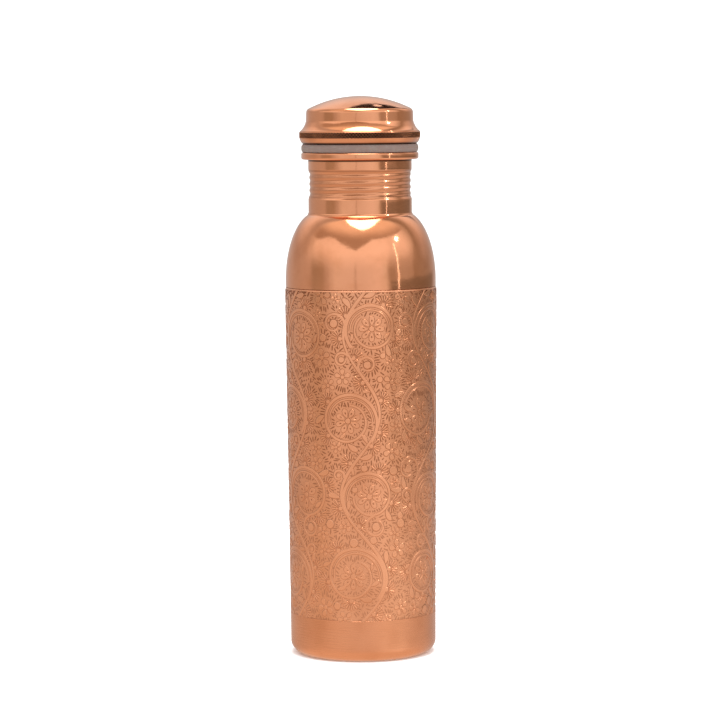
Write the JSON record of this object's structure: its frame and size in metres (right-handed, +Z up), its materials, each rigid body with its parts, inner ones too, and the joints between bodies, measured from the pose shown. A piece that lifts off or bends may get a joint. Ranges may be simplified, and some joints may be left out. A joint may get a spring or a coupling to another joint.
{
  "type": "water bottle",
  "caption": "Tall round copper water bottle with a shallow-etched tapered body, plain shoulder, rolled-thread neck and a screw lid with a knurled grip ring and silicone seal.",
  "frame": {"origin": "centre of the foot, on the surface the bottle stands on", "axes": "+Z up along the bottle's axis, from foot to lid; the bottle is round, so +X and +Y are free"},
  "size_m": [0.072, 0.072, 0.265],
  "materials": {
    "etched_copper": "satin etched",
    "base_copper": "satin",
    "polished_copper": "polished",
    "knurled_copper": "knurled",
    "silicone": "matte grey"
  },
  "bodies": {
    "bottle": {"barrel": "etched_copper", "base_disc": "base_copper", "shoulder": "polished_copper", "neck": "polished_copper", "lip_ring": "polished_copper"},
    "seal": {"seal": "silicone"},
    "lid": {"grip_ring": "knurled_copper", "threaded_plug": "polished_copper", "cap": "polished_copper"}
  },
  "joints": [
    {"name": "lid_rise", "type": "slide", "parent": "bottle", "child": "seal", "axis": [0, 0, 1], "range_m": [0, 0.0331]},
    {"name": "lid_turn", "type": "hinge", "parent": "seal", "child": "lid", "pos_m": [0, 0, 0.24], "axis": [0, 0, 1], "range_deg": [0, 3960]}
  ],
  "couplings": [
    {"joint": "lid_rise", "follows": "lid_turn", "m_per_rad": 0.00047746}
  ]
}
